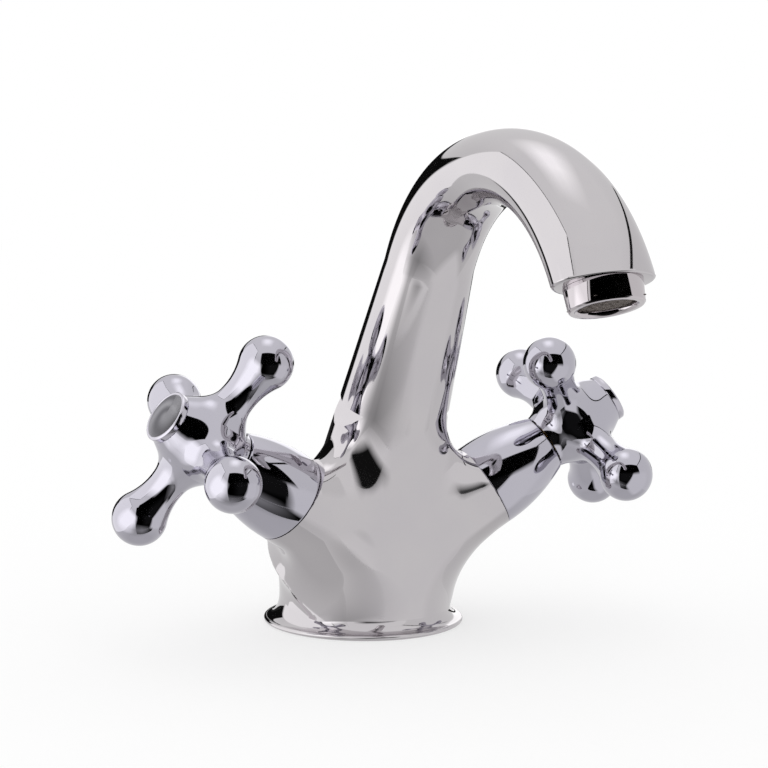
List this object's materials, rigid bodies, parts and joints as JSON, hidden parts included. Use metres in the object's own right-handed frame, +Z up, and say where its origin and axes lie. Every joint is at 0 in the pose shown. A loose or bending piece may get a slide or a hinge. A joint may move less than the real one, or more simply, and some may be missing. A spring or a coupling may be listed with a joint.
{
  "type": "basin mixer",
  "caption": "Deck-mounted basin mixer: cast body with a fixed arched spout and raised side arms, and cross handles that turn ceramic headworks.",
  "frame": {"origin": "centre of the foot's underside, on the deck and on the axis of the deck hole", "axes": "+Z up, the spout points towards -Y, the handles stand towards -X (hot) and +X (cold)"},
  "size_m": [0.1593, 0.1696, 0.141],
  "materials": {
    "body_chrome": "polished chrome plate on cast brass",
    "chrome": "polished chrome plate on brass",
    "satin_chrome": "satin chrome face with a polished rim",
    "brass": "turned, bare",
    "steel": "stainless",
    "rubber": "moulded",
    "ceramic": "ground and lapped",
    "plastic": "moulded"
  },
  "bodies": {
    "mixer": {"body": "body_chrome", "base_gasket": "rubber", "aerator_housing": "chrome", "aerator_insert": "plastic", "aerator_washer": "rubber", "left_bonnet": "chrome", "left_valve_body": "brass", "left_valve_oring": "rubber", "left_seat_seal": "rubber", "left_fixed_disc": "ceramic", "right_bonnet": "chrome", "right_valve_body": "brass", "right_valve_oring": "rubber", "right_seat_seal": "rubber", "right_fixed_disc": "ceramic"},
    "left_handle": {"left_moving_disc": "ceramic", "left_spindle": "brass", "left_spindle_oring": "rubber", "left_spindle_clip": "steel", "left_cross": "chrome", "left_handle_screw": "steel", "left_index_cap": "satin_chrome"},
    "right_handle": {"right_moving_disc": "ceramic", "right_spindle": "brass", "right_spindle_oring": "rubber", "right_spindle_clip": "steel", "right_cross": "chrome", "right_handle_screw": "steel", "right_index_cap": "satin_chrome"}
  },
  "joints": [
    {"name": "left_turn", "type": "hinge", "parent": "mixer", "child": "left_handle", "pos_m": [-0.05703, -0.02056, 0.05763], "axis": [-0.8212, -0.1448, 0.5519], "range_deg": [0, 90]},
    {"name": "right_turn", "type": "hinge", "parent": "mixer", "child": "right_handle", "pos_m": [0.05703, -0.02056, 0.05763], "axis": [-0.8212, 0.1448, -0.5519], "range_deg": [0, 90]}
  ]
}
